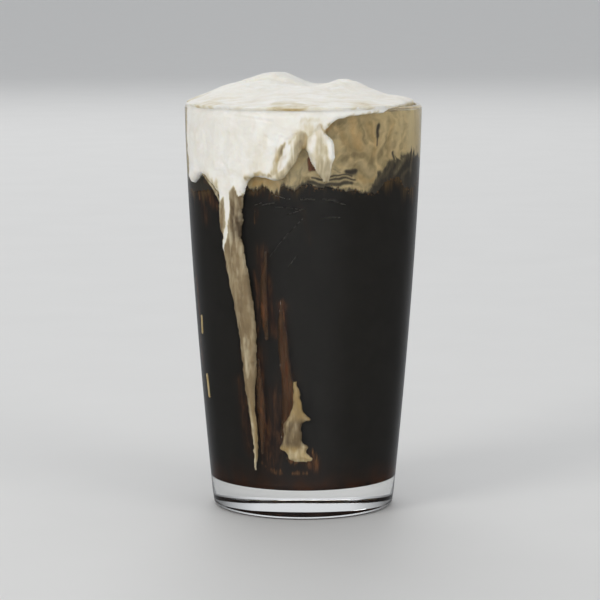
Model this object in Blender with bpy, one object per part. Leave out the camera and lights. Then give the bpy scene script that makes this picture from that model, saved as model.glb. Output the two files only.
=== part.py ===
"""Pint of stout in its glass.

A pint glass with a thick foot is filled to the brim with stout. The creamy head has risen above
the rim, slumped over the front left of it in a broad apron, and sent a long run of foam down the
outside. A smaller smear of foam has stopped lower down.

Units are metres and +Z is up. The origin is the middle of the foot, on the table. The front of
the glass, where the foam came over, faces -Y. Angles round the glass are in degrees from the
front, positive towards +X.
"""

import bisect
import math

import bmesh
import bpy
from mathutils import Vector, noise

MM = 0.001

# Glass
HEIGHT = 147 * MM
RIM_RADIUS = 43 * MM
FOOT_RADIUS = 33 * MM
SIDE_BOW = 1.45  # 1 is a straight cone, more bows the side outwards
RIM_WALL = 2.3 * MM
FLOOR_WALL = 3.0 * MM
WALL_TAPER = 50 * MM  # height over which the wall thins from floor to rim thickness
FLOOR = 10.5 * MM  # glass under the drink
FLOOR_CORNER = 3.2 * MM
HEEL = 2.5 * MM  # rounding of the foot's outer edge
STANDING_RING = 25.5 * MM  # inner radius of the flat ring that the glass stands on
PUNT = 1.6 * MM  # hollow under the foot
GLASS_STEPS = 70
ARC_STEPS = 4

# Drink and foam
GAP = 0.3 * MM  # clearance between neighbouring solids
BITE = 0.9 * MM  # how far foam shapes run into the glass wall before it is cut out of them
LIP_HEIGHT = 0.9 * MM  # height above the rim where the head bulges out furthest
INNER_RIM = RIM_RADIUS - RIM_WALL
PLUG_TOP = HEIGHT - 1.5 * MM
LEVEL = HEIGHT - 27.5 * MM  # where head meets stout, away from the wall
FINE_STEP = 3.0
COARSE_STEP = 6.0
FINE_FROM, FINE_TO = -85.0, 95.0

# Lower edge of the head where it shows through the glass: (degrees, mm below the rim)
HEAD_EDGE = [
    (-180, 27), (-150, 29), (-125, 26.5), (-100, 28.5), (-75, 30), (-58, 29.5), (-45, 28), (-31, 26.5),
    (-25, 28.2), (-20, 26.5), (-14, 28.6), (-9, 26.4), (-5, 28), (0, 26), (11, 27), (22, 28.3), (38, 29.8),
    (43, 27), (49, 24.7), (55, 25), (62, 28.6), (71, 29), (78, 27), (85, 24.5), (100, 27), (125, 28.5),
    (150, 26.5), (180, 27),
]
# How far the foam's lip reaches out from the inner edge of the rim: (degrees, mm)
LIP_REACH = [
    (-180, 3.4), (-158, 3.7), (-135, 2.2), (-115, 1.0), (-95, 1.7), (-78, 1.6), (-70, 3.9), (-50, 4.5),
    (-20, 4.6), (5, 4.3), (20, 4.1), (36, 3.7), (46, 2.6), (54, 1.2), (62, -0.3), (78, -0.6), (95, 0.8),
    (115, 1.9), (135, 1.2), (160, 2.9), (180, 3.4),
]
# How far the foam hangs below the rim on the outside: (degrees, mm)
APRON_DROP = [
    (-180, 1.5), (-158, 2.2), (-135, 0), (-75, 0), (-71.5, 2), (-69, 17), (-67, 27.5), (-62, 26), (-56.5, 23.5), (-52, 24.4),
    (-46, 28), (-41, 32), (-35, 34), (-31, 30), (-28, 26), (-25, 24), (-21, 23.6), (-14, 24.6), (-10, 24),
    (-6.6, 21), (-3.4, 17.5), (0, 13.6), (4, 12.6), (8, 10), (12.5, 5), (17, 3.1), (26, 2.0), (33, 1.8),
    (40, 1.3), (47, 0.4), (54, 0), (140, 0), (160, 1.2), (180, 1.5),
]
# Swells on top of the head: (mm right, mm back, mm high, mm wide)
SWELLS = [
    (0, 0, 6.1, 24), (-27, -3, 3.8, 10), (-10, 12, 5.2, 8), (16, 1, 3.4, 8), (3, 4, -3.0, 6),
    (42, 0, -0.8, 13), (-4, -27, 1.0, 9), (19, 24, 1.6, 9), (-22, 27, 1.2, 8),
]
SHOULDER = (3.9, 0.63)  # how late and how roundly the top falls to its lip
RELIEF = 0.4 * MM
RELIEF_SCALE = 10 * MM

# Runs of foam on the outside: (mm above the foot, degrees, mm half wide, mm thick)
DRIP = [
    (128, -36, 7.0, 1.2), (122, -36, 6.2, 1.8), (116, -36.8, 5.0, 2.2), (109, -37.4, 5.2, 2.1),
    (103, -37.9, 4.4, 1.9), (97, -36.6, 4.3, 2.0), (86, -33.8, 4.1, 2.1), (75, -31.4, 3.8, 2.1),
    (64, -30, 3.1, 2.0), (53, -30, 2.6, 1.8), (47, -30.3, 2.1, 1.6), (40, -29.6, 1.4, 1.3),
    (34, -28.8, 1.3, 1.3), (27, -28.4, 1.1, 1.3), (21, -28.9, 0.8, 1.0), (18, -29.3, 0.45, 0.5),
]
CURL = [
    (142.5, 2, 1.6, 1.0), (139, 5.2, 4.2, 2.4), (135.5, 7.4, 4.9, 2.9), (132, 8.2, 4.6, 3.0),
    (128.5, 8.9, 3.7, 2.8), (125.5, 9.7, 2.5, 2.3), (122, 10.6, 1.1, 1.2),
]
SMEAR = [
    (50.6, -4.4, 0.7, 0.4), (47, -3.9, 1.2, 0.9), (42.6, -3.5, 1.5, 1.2), (39.8, -3.6, 2.3, 1.3),
    (37.6, -3.4, 3.7, 1.2), (35.4, -5.8, 3.2, 1.5), (31, -6.2, 3.3, 1.7), (28.2, -6.2, 3.6, 1.6),
    (26.6, -6.0, 4.4, 1.5), (24.8, -4.3, 3.7, 1.4), (23.2, -2.2, 3.5, 1.2), (22, -1.4, 2.2, 0.6),
]
RUN_ARC_STEPS = 7


def smooth_through(stops):
    """A smooth function through (place, value) stops, level at both ends."""
    places = [place for place, _ in stops]
    values = [value for _, value in stops]
    slopes = [0.0] * len(stops)
    for i in range(1, len(stops) - 1):
        before = (values[i] - values[i - 1]) / (places[i] - places[i - 1])
        after = (values[i + 1] - values[i]) / (places[i + 1] - places[i])
        if before * after > 0:
            slopes[i] = 2 * before * after / (before + after)

    def value_at(place):
        place = min(max(place, places[0]), places[-1])
        i = min(bisect.bisect_right(places, place), len(places) - 1) - 1
        span = places[i + 1] - places[i]
        t = (place - places[i]) / span
        return (
            (2 * t**3 - 3 * t**2 + 1) * values[i]
            + (t**3 - 2 * t**2 + t) * span * slopes[i]
            + (3 * t**2 - 2 * t**3) * values[i + 1]
            + (t**3 - t**2) * span * slopes[i + 1]
        )

    return value_at


head_edge = smooth_through(HEAD_EDGE)
lip_reach = smooth_through(LIP_REACH)
apron_drop = smooth_through(APRON_DROP)


def spot(angle, radius, height):
    """The point at an angle round the glass, a radius from its axis and a height above the table."""
    turn = math.radians(angle)
    return Vector((radius * math.sin(turn), -radius * math.cos(turn), height))


def outer_radius(z):
    """Outer radius of the glass at height z."""
    share = min(max(z / HEIGHT, 0), 1)
    return FOOT_RADIUS + (RIM_RADIUS - FOOT_RADIUS) * (1 - (1 - share) ** SIDE_BOW)


def inner_radius(z):
    """Inner radius of the glass at height z, above the rounded corner of its floor."""
    share = min(max((z - FLOOR) / WALL_TAPER, 0), 1)
    return outer_radius(z) - FLOOR_WALL + (FLOOR_WALL - RIM_WALL) * share


def arc(centre, radius, start, end):
    """Points (r, z) on an arc about a centre (r, z), angles in degrees from +r towards +z."""
    turns = [math.radians(start + (end - start) * i / ARC_STEPS) for i in range(ARC_STEPS + 1)]
    return [(centre[0] + radius * math.cos(t), centre[1] + radius * math.sin(t)) for t in turns]


def heights(low, high, count):
    return [low + (high - low) * i / (count - 1) for i in range(count)]


def material(name, colour, roughness, transmission=0.0):
    """A Principled BSDF material; colour is linear red, green and blue."""
    made = bpy.data.materials.new(name)
    made.use_nodes = True
    shader = made.node_tree.nodes["Principled BSDF"]
    shader.inputs["Base Color"].default_value = (*colour, 1)
    shader.inputs["Roughness"].default_value = roughness
    shader.inputs["Metallic"].default_value = 0
    shader.inputs["Transmission Weight"].default_value = transmission
    return made


def mesh_object(name, points, faces, finish=None):
    """A smooth-shaded object whose faces point outwards."""
    mesh = bpy.data.meshes.new(name)
    mesh.from_pydata([tuple(p) for p in points], [], faces)
    obj = bpy.data.objects.new(name, mesh)
    bpy.context.scene.collection.objects.link(obj)
    if faces:
        bm = bmesh.new()
        bm.from_mesh(mesh)
        bmesh.ops.recalc_face_normals(bm, faces=bm.faces)
        bm.to_mesh(mesh)
        bm.free()
    mesh.shade_smooth()
    if finish:
        mesh.materials.append(finish)
    return obj


def skin(name, rings, start, end, finish=None):
    """A closed surface through rings of points, closed by a fan to one point at each end."""
    count = len(rings[0])
    points = [start] + [p for ring in rings for p in ring] + [end]
    last = len(points) - 1

    def at(ring, i):
        return 1 + ring * count + i % count

    faces = [(0, at(0, i + 1), at(0, i)) for i in range(count)]
    for ring in range(len(rings) - 1):
        for i in range(count):
            faces.append((at(ring, i), at(ring, i + 1), at(ring + 1, i + 1)))
            faces.append((at(ring, i), at(ring + 1, i + 1), at(ring + 1, i)))
    faces += [(at(len(rings) - 1, i), at(len(rings) - 1, i + 1), last) for i in range(count)]
    return mesh_object(name, points, faces, finish)


def turned(name, profile, closed, finish=None):
    """A profile (r, z) turned about the Z axis by a Screw modifier, running up inside and down outside."""
    points = [Vector((r, 0, z)) for r, z in profile]
    ends = len(points) if closed else len(points) - 1
    obj = mesh_object(name, points, [], finish)
    mesh = obj.data
    mesh.clear_geometry()
    mesh.from_pydata([tuple(p) for p in points], [(i, (i + 1) % len(points)) for i in range(ends)], [])
    screw = obj.modifiers.new("turn", "SCREW")
    screw.steps = screw.render_steps = GLASS_STEPS
    screw.use_merge_vertices = True
    screw.merge_threshold = 0.00001
    screw.use_smooth_shade = True
    return obj


def make_glass(finish):
    """Clear glass: wall, thick foot with a rounded heel, and a shallow punt under it."""
    corner_z = FLOOR + FLOOR_CORNER
    corner_r = inner_radius(corner_z) - FLOOR_CORNER
    rim_round = RIM_WALL / 2
    rim_z = HEIGHT - rim_round
    heel_r = FOOT_RADIUS - HEEL
    profile = [(0, FLOOR), (corner_r / 2, FLOOR)]
    profile += arc((corner_r, corner_z), FLOOR_CORNER, -90, 0)
    profile += [(inner_radius(z), z) for z in heights(corner_z, rim_z, 7)[1:-1]]
    profile += arc((RIM_RADIUS - rim_round, rim_z), rim_round, 180, 0)
    profile += [(outer_radius(z), z) for z in heights(rim_z, HEEL, 9)[1:-1]]
    profile += arc((heel_r, HEEL), HEEL, 0, -90)
    profile += [(STANDING_RING, 0), (STANDING_RING - 2 * MM, 0.5 * MM), (STANDING_RING / 2, PUNT * 0.85), (0, PUNT)]
    return turned("glass", profile, closed=False, finish=finish)


def make_sleeve():
    """The upper glass wall grown by the clearance, a cutter that keeps foam off the glass."""
    rim_round = RIM_WALL / 2
    rim_z = HEIGHT - rim_round
    low = FLOOR / 2
    profile = [(inner_radius(z) - GAP, z) for z in heights(low, rim_z, 14)[:-1]]
    profile += arc((RIM_RADIUS - rim_round, rim_z), rim_round + GAP, 180, 0)
    profile += [(outer_radius(z) + GAP, z) for z in heights(rim_z, low, 14)[1:]]
    sleeve = turned("sleeve", profile, closed=True)
    sleeve.hide_render = True
    sleeve.display_type = "WIRE"
    return sleeve


def angles_round():
    """Angles round the glass, closer together across the front where the foam came over."""
    fine = int((FINE_TO - FINE_FROM) / FINE_STEP)
    coarse = int((360 - (FINE_TO - FINE_FROM)) / COARSE_STEP)
    turns = [FINE_FROM + i * FINE_STEP for i in range(fine)]
    turns += [FINE_TO + i * COARSE_STEP for i in range(coarse)]
    return [(t + 180) % 360 - 180 for t in turns]


ANGLES = angles_round()
# Shares of the inner radius where the surface between head and stout has its rings
LEVEL_RINGS = [0.4, 0.75, 0.9, 0.97]


def level_height(angle, share):
    """Height of the surface between head and stout: level inside, uneven near the wall."""
    near = min(max((share - LEVEL_RINGS[1]) / (LEVEL_RINGS[3] - LEVEL_RINGS[1]), 0), 1)
    return LEVEL + (HEIGHT - head_edge(angle) * MM - LEVEL) * near * near * (3 - 2 * near)


def level_rings(lift):
    """Rings of the surface between head and stout, from the middle outwards, moved up by lift."""
    radius = inner_radius(LEVEL)
    return [[spot(a, radius * share, level_height(a, share) + lift) for a in ANGLES] for share in LEVEL_RINGS]


def make_stout(finish):
    """The drink, a clearance away from glass and head."""
    corner_z = FLOOR + FLOOR_CORNER
    corner_r = inner_radius(corner_z) - FLOOR_CORNER
    rings = level_rings(-GAP)
    for rise in (1, 0.85):
        ring = []
        for a in ANGLES:
            z = LEVEL / 2 + (level_height(a, 1) - GAP - LEVEL / 2) * rise
            ring.append(spot(a, inner_radius(z) - GAP, z))
        rings.append(ring)
    for z in heights(LEVEL * 0.78, corner_z, 5)[:-1]:
        rings.append([spot(a, inner_radius(z) - GAP, z) for a in ANGLES])
    floor = arc((corner_r, corner_z), FLOOR_CORNER - GAP, 0, -90) + [(corner_r / 2, FLOOR + GAP)]
    rings += [[spot(a, r, z) for a in ANGLES] for r, z in floor]
    return skin("stout", rings, Vector((0, 0, LEVEL - GAP)), Vector((0, 0, FLOOR + GAP)), finish)


def make_plug(finish):
    """The head inside the glass, from its uneven lower edge to just under the rim."""
    rings = level_rings(0)
    for rise in (0, 0.35, 0.7, 1):
        ring = []
        for a in ANGLES:
            low = level_height(a, 1)
            z = low + (PLUG_TOP - low) * rise
            ring.append(spot(a, inner_radius(z) + BITE, z))
        rings.append(ring)
    return skin("head", rings, Vector((0, 0, LEVEL)), Vector((0, 0, PLUG_TOP)), finish)


def relief(point):
    """Soft lumps in the foam."""
    return RELIEF * noise.noise(point / RELIEF_SCALE)


def dome_height(x, y):
    """Height of the head above its lip, away from its rounded edge."""
    high = 0
    for right, back, rise, wide in SWELLS:
        away = (x - right * MM) ** 2 + (y - back * MM) ** 2
        high += rise * MM * math.exp(-away / (2 * (wide * MM) ** 2))
    return high + relief(Vector((x, y, HEIGHT)))


DOME_RINGS = [0.12, 0.25, 0.38, 0.5, 0.61, 0.72, 0.82, 0.9, 0.96, 1.0]
APRON_RINGS = [0.08, 0.17, 0.32, 0.55, 0.77, 0.93, 1.0]


def foam_thickness(down, drop):
    """Thickness of the apron as a share of its lip: a crease at the rim, fuller and rounded below."""
    crease = 0.6 * math.exp(-(((down - 1.5 * MM) / (1.1 * MM)) ** 2))
    share = down / (drop + LIP_HEIGHT)
    full = 0.8 + 0.35 * share
    tip = math.sqrt(max(1 - max((share - 0.8) / 0.2, 0) ** 2, 0))
    return (full - crease) * (0.25 + 0.75 * tip)


def make_cap():
    """The head above the rim, with the lip and apron that hang over it."""
    rings = [[] for _ in DOME_RINGS + APRON_RINGS]
    inside = [[], [], []]
    for a in ANGLES:
        edge = INNER_RIM + lip_reach(a) * MM
        drop = apron_drop(a) * MM
        proud = edge - RIM_RADIUS
        for ring, share in zip(rings, DOME_RINGS):
            even = INNER_RIM + (edge - INNER_RIM) * share * share
            place = spot(a, even * share, HEIGHT + LIP_HEIGHT)
            place.z += dome_height(place.x, place.y) * (1 - share ** SHOULDER[0]) ** SHOULDER[1]
            ring.append(place)
        for ring, share in zip(rings[len(DOME_RINGS):], APRON_RINGS):
            down = (drop + LIP_HEIGHT) * share
            z = HEIGHT + LIP_HEIGHT - down
            out = proud * foam_thickness(down, drop) if proud > 0 else proud
            place = spot(a, outer_radius(z) + out, z)
            lift = relief(place) * min(share, 1 - share) if proud > 0 else 0
            ring.append(spot(a, outer_radius(z) + out + 2 * lift, z))
        foot_z = HEIGHT - drop
        within = min(edge, RIM_RADIUS) - RIM_RADIUS
        inside[0].append(spot(a, outer_radius(foot_z) + within - BITE, foot_z + GAP / 2))
        inside[1].append(spot(a, RIM_RADIUS + within - 2 * BITE, HEIGHT - GAP))
        inside[2].append(spot(a, INNER_RIM - 5 * MM, HEIGHT - 5 * MM))
    top = Vector((0, 0, HEIGHT + LIP_HEIGHT + dome_height(0, 0)))
    return skin("cap", rings + inside, top, Vector((0, 0, HEIGHT - 6 * MM)))


def foam_run(name, stops, finish=None):
    """A rounded run of foam down the outside of the glass, through its stops."""
    turn = smooth_through([(-z, a) for z, a, _, _ in stops])
    half = smooth_through([(-z, w) for z, _, w, _ in stops])
    thick = smooth_through([(-z, t) for z, _, _, t in stops])
    top, foot = stops[0][0], stops[-1][0]
    count = max(2 * len(stops) - 1, 9)
    rings = []
    for z_mm in heights(top, foot, count):
        z = z_mm * MM
        radius = outer_radius(z)
        ring = []
        for i in range(RUN_ARC_STEPS + 1):
            side = -math.cos(math.pi * i / RUN_ARC_STEPS)
            across = math.degrees(side * half(-z_mm) * MM / radius)
            swell = thick(-z_mm) * MM * math.sqrt(max(1 - side * side, 0))
            ring.append(spot(turn(-z_mm) + across, radius + 1.5 * GAP + swell, z))
        for side in (1, -1):
            across = math.degrees(side * half(-z_mm) * MM / radius)
            ring.append(spot(turn(-z_mm) + across, radius - BITE, z))
        rings.append(ring)

    def middle(ring):
        return sum(ring, Vector()) / len(ring)

    return skin(name, rings, middle(rings[0]), middle(rings[-1]), finish)


def join_and_cut(obj, joined, cutter):
    """Joins helpers to an object by one Boolean union, cuts it free of the glass and removes the helpers."""
    if joined:
        helpers = bpy.data.collections.new("helpers")
        for helper in joined:
            helpers.objects.link(helper)
        union = obj.modifiers.new("join", "BOOLEAN")
        union.operation = "UNION"
        union.operand_type = "COLLECTION"
        union.collection = helpers
    cut = obj.modifiers.new("clear the glass", "BOOLEAN")
    cut.operation = "DIFFERENCE"
    cut.object = cutter
    graph = bpy.context.evaluated_depsgraph_get()
    mesh = bpy.data.meshes.new_from_object(obj.evaluated_get(graph))
    obj.modifiers.clear()
    obj.data = mesh
    mesh.shade_smooth()
    mesh.set_sharp_from_angle(angle=math.radians(50))
    if joined:
        for helper in joined:
            bpy.data.objects.remove(helper)
        bpy.data.collections.remove(helpers)
    return obj


def main():
    for obj in list(bpy.data.objects):
        bpy.data.objects.remove(obj)
    clear = material("clear glass", (0.92, 0.95, 0.94), 0.03, transmission=1.0)
    black = material("stout", (0.020, 0.012, 0.008), 0.08)
    cream = material("creamy foam", (0.80, 0.74, 0.62), 0.6)
    tan = material("tan foam", (0.48, 0.36, 0.21), 0.55)

    make_glass(clear)
    make_stout(black)
    sleeve = make_sleeve()
    head = make_plug(cream)
    join_and_cut(head, [make_cap(), foam_run("drip", DRIP), foam_run("curl", CURL)], sleeve)
    join_and_cut(foam_run("smear", SMEAR, tan), [], sleeve)


main()
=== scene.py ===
"""Pint of stout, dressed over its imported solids.

Lengths in this script are millimetres and angles are degrees round the glass from the front (-Y),
positive towards +X, unless a line says otherwise. Meshes are written in metres.

A mark on the wall runs from one end to the other: angle, height, angle, height, half width, and how strong
or how thick it is. Heights are from the foot.
"""

import math

import bmesh
import bpy
import numpy as np
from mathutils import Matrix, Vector, noise


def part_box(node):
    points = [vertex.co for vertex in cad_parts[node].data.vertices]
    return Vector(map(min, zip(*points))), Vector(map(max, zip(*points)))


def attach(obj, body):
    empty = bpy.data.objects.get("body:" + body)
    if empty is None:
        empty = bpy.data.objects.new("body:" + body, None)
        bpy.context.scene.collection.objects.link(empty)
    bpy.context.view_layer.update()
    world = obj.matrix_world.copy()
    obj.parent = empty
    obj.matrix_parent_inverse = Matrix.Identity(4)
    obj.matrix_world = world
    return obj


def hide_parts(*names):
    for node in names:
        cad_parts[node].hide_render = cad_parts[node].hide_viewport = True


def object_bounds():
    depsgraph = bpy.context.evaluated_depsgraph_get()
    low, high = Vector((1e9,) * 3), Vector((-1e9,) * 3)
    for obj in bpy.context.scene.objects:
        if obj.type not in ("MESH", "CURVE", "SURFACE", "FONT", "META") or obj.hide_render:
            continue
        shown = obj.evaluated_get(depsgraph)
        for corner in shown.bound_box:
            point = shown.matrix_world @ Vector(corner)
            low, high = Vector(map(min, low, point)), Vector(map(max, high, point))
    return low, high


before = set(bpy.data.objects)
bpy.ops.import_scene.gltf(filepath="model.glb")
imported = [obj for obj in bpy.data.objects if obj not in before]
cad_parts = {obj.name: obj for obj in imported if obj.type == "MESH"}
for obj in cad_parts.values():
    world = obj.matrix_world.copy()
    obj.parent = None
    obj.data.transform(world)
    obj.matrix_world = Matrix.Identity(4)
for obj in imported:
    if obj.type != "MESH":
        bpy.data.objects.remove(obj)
cad_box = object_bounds()
scene = bpy.context.scene

MM = 0.001

# The foam stays this far inside the solids' box, at its highest and its foremost
TOP = cad_box[1][2] / MM - 0.05
FRONT = -cad_box[0][1] / MM - 0.03

# Glass, as in the solids, but with a smaller heel
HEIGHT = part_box("glass")[1].z / MM
RIM_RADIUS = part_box("glass")[1].x / MM
FOOT_RADIUS = 33.0
SIDE_BOW = 1.45
RIM_WALL = 2.3
FLOOR_WALL = 3.0
WALL_TAPER = 50.0
GAP = 0.3
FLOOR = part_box("stout")[0].z / MM - GAP
FLOOR_CORNER = 3.2
HEEL = 1.7
STANDING_RING = 25.5
PUNT = 1.6
INNER_RIM = RIM_RADIUS - RIM_WALL
RIM_ROUND = RIM_WALL / 2
MEAN_RADIUS = 40.0

# How far what fills or touches the glass reaches into it, so that no air shows between
GRIP = 0.08

# Foam, as in the solids: lower edge of the head inside the glass, (degrees, below the rim)
LEVEL = HEIGHT - 27.5
HEAD_EDGE = [
    (-180, 27), (-150, 29), (-125, 26.5), (-100, 28.5), (-75, 30), (-58, 29.5), (-45, 28), (-31, 26.5),
    (-25, 28.2), (-20, 26.5), (-14, 28.6), (-9, 26.4), (-5, 28), (0, 26), (11, 27), (22, 28.3), (38, 29.8),
    (43, 27), (49, 24.7), (55, 25), (62, 28.6), (71, 29), (78, 27), (85, 24.5), (100, 27), (125, 28.5),
    (150, 26.5), (180, 27),
]

# How far the head reaches beyond the inside of the rim, and how far the apron hangs below it: (degrees, mm)
LIP_REACH = [
    (-180, 3.4), (-158, 3.7), (-135, 2.2), (-115, 1), (-95, 1.7), (-78, 1.6), (-70, 3.9), (-50, 4.5),
    (-20, 4.6), (5, 4.3), (20, 4.1), (36, 3.7), (46, 2.6), (54, 1.2), (62, -0.3), (78, -0.6), (95, 0.8),
    (115, 1.9), (135, 1.2), (160, 2.9), (180, 3.4),
]
APRON_DROP = [
    (-180, 1.5), (-158, 2.2), (-135, 0), (-75, 0), (-71.5, 2), (-69, 17), (-67, 27.5), (-62, 26),
    (-56.5, 23.5), (-52, 24.4), (-46, 28), (-41, 32), (-35, 34), (-31, 30), (-28, 26), (-25, 24), (-21, 23.6),
    (-14, 24.6), (-10, 24), (-6.6, 21), (-3.4, 17.5), (0, 13.6), (4, 12.6), (8, 10), (12.5, 5), (17, 3.1),
    (26, 2), (33, 1.8), (40, 1.3), (47, 0.4), (54, 0), (140, 0), (160, 1.2), (180, 1.5),
]

# The dome: the lip above the rim, swells (right, back, height, width), and the power and root of its shoulder
LIP_HEIGHT = 0.9
SWELLS = [
    (0, 0, 6.1, 24), (-27, -3, 3.8, 10), (-10, 12, 5.2, 8), (16, 1, 3.4, 8), (3, 4, -3, 6),
    (42, 0, -0.8, 13), (-4, -27, 1, 9), (19, 24, 1.6, 9), (-22, 27, 1.2, 8),
]
SHOULDER = (3.9, 0.63)

# Runs on the outside of the glass: (above the foot, degrees, half width, thickness)
DRIP = [
    (128, -36, 7, 1.2), (122, -36, 6.2, 1.8), (116, -36.8, 5, 2.2), (109, -37.4, 5.2, 2.1),
    (103, -37.9, 4.4, 1.9), (97, -36.6, 4.3, 2), (86, -33.8, 4.1, 2.1), (75, -31.4, 3.8, 2.1),
    (64, -30, 3.1, 2), (53, -30, 2.6, 1.8), (47, -30.3, 1.9, 1.6), (40, -29.6, 1.2, 1.3),
    (34, -28.8, 1, 1.2), (27, -28.4, 0.8, 1.1), (21, -28.9, 0.55, 0.9), (18, -29.3, 0.35, 0.5),
]
CURL = [
    (142.5, 2, 1.6, 1), (139, 5.2, 4.2, 2.4), (135.5, 7.4, 4.9, 2.9), (132, 8.2, 4.6, 3),
    (128.5, 8.9, 3.7, 2.8), (125.5, 9.7, 2.5, 2.3), (122, 10.6, 1.1, 1.2),
]
SMEAR = [
    (50.6, -4.4, 0.7, 0.4), (47, -3.9, 1.2, 0.9), (42.6, -3.5, 1.5, 1.2), (39.8, -3.6, 2.3, 1.3),
    (37.6, -3.4, 3.7, 1.2), (35.4, -5.8, 3.2, 1.5), (31, -6.2, 3.3, 1.7), (28.2, -6.2, 3.6, 1.6),
    (26.6, -6, 4.4, 1.5), (24.8, -4.3, 3.7, 1.4), (23.2, -2.2, 3.5, 1.2), (22, -1.4, 2.2, 0.6),
]


def smooth_through(stops):
    """A smooth function of arrays through (place, value) stops, level at both ends."""
    places = np.array([s[0] for s in stops], float)
    values = np.array([s[1] for s in stops], float)
    rise = np.diff(values) / np.diff(places)
    slopes = np.zeros(len(stops))
    product = rise[:-1] * rise[1:]
    total = np.where(product > 0, rise[:-1] + rise[1:], 1)
    slopes[1:-1] = np.where(product > 0, 2 * product / total, 0)

    def value_at(place):
        place = np.clip(np.asarray(place, float), places[0], places[-1])
        i = np.clip(np.searchsorted(places, place, side="right") - 1, 0, len(places) - 2)
        span = places[i + 1] - places[i]
        t = (place - places[i]) / span
        return (
            (2 * t**3 - 3 * t**2 + 1) * values[i]
            + (t**3 - 2 * t**2 + t) * span * slopes[i]
            + (3 * t**2 - 2 * t**3) * values[i + 1]
            + (t**3 - t**2) * span * slopes[i + 1]
        )

    return value_at


mean_edge = smooth_through(HEAD_EDGE)
lip_reach = smooth_through(LIP_REACH)
apron_drop = smooth_through(APRON_DROP)


def smoothstep(low, high, value):
    """0 at low and 1 at high, whichever of the two is the larger."""
    t = unit((value - low) / (high - low))
    return t * t * (3 - 2 * t)


def unit(value):
    """The value, kept from 0 to 1."""
    return np.clip(value, 0, 1)


def outer_radius(z):
    """Radius of the glass's outside, which bows out a little."""
    share = unit(z / HEIGHT)
    return FOOT_RADIUS + (RIM_RADIUS - FOOT_RADIUS) * (1 - (1 - share) ** SIDE_BOW)


def inner_radius(z):
    """Radius of its inside, as the wall thins towards the rim."""
    share = unit((z - FLOOR) / WALL_TAPER)
    return outer_radius(z) - FLOOR_WALL + (FLOOR_WALL - RIM_WALL) * share


# Middle of the round corner between the wall and the floor
CORNER_Z = FLOOR + FLOOR_CORNER
CORNER_R = inner_radius(CORNER_Z) - FLOOR_CORNER


def place(angle, radius, z):
    """Points (n, 3) from angles, radii and heights."""
    turn, radius, z = np.broadcast_arrays(np.radians(angle), radius, z)
    return np.stack([radius * np.sin(turn), -radius * np.cos(turn), z], axis=-1).reshape(-1, 3)


def angles_of(points):
    """The angle of each point."""
    return np.degrees(np.arctan2(points[:, 0], -points[:, 1]))


def around(steps):
    """Angles of even steps all the way round."""
    return -180 + np.arange(steps) * 360.0 / steps


def head_edge(angle):
    """Depth of the head's lower edge below the rim, ragged, with a fringe of fine tips beside the run."""
    fringe = 0.3 + 0.7 * smoothstep(-29, -26, angle) * smoothstep(1, -4, angle)
    tips = unit(wall_lumps(angle, 0.0, 0.9, 1, 9, 2) + 0.15)
    return mean_edge(angle) + 0.8 * wall_lumps(angle, 0.0, 3.2, 1, 2, 3) + 2.4 * fringe * tips


def lumps(points, size, seed, detail=3):
    """Fractal noise at each point, about -1 to 1, in lumps of a size in mm."""
    shift = Vector((seed * 17.31 + 0.5, seed * 5.17 + 0.3, seed * 9.73 + 0.7))
    scaled = points / np.array(size, float)
    return np.array([noise.fractal(Vector(p) + shift, 0.6, 2.0, detail) for p in scaled.tolist()])


def wall_lumps(angle, z, across, along, seed, detail=3):
    """Fractal noise on the wall of the glass, in lumps of a width and a height in mm."""
    angle, z = np.broadcast_arrays(angle, z)
    return lumps(place(angle, MEAN_RADIUS, z), (across, across, along), seed, detail).reshape(angle.shape)


def new_object(name, points, faces, paint=None):
    """A smooth-shaded mesh from points in mm, with per-point values for its material."""
    mesh = bpy.data.meshes.new(name)
    mesh.from_pydata((np.asarray(points) * MM).tolist(), [], faces)
    mesh.validate()
    for key, values in (paint or {}).items():
        layer = mesh.attributes.new(key, "FLOAT", "POINT")
        layer.data.foreach_set("value", np.asarray(values, np.float32).ravel())
    mesh.shade_smooth()
    return linked(name, mesh)


def linked(name, data):
    """A new object in the scene for a mesh, a light or a camera."""
    obj = bpy.data.objects.new(name, data)
    scene.collection.objects.link(obj)
    return obj


def closed_skin(rings, first_z, last_z, rising=False):
    """Points and faces of rings closed on the axis at two heights; rising is for rings from the bottom up."""
    points = np.concatenate([[[0, 0, first_z]], *rings, [[0, 0, last_z]]])
    last = len(points) - 1
    index = np.arange(1, last).reshape(len(rings), -1)
    ahead = np.roll(index, -1, axis=1)
    faces = np.stack([index[:-1], ahead[:-1], ahead[1:], index[1:]], axis=-1).reshape(-1, 4).tolist()
    faces += [[0, j, i] for i, j in zip(index[0].tolist(), ahead[0].tolist())]
    faces += [[last, i, j] for i, j in zip(index[-1].tolist(), ahead[-1].tolist())]
    return points, faces if rising else [face[::-1] for face in faces]


def arc(r, z, radius, start, end, steps):
    """Points (r, z) of a round corner."""
    turns = np.radians(np.linspace(start, end, steps + 1))
    return [(r + radius * math.cos(t), z + radius * math.sin(t)) for t in turns]


# Glass: its steps all the way round
GLASS_STEPS = 192


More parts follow.
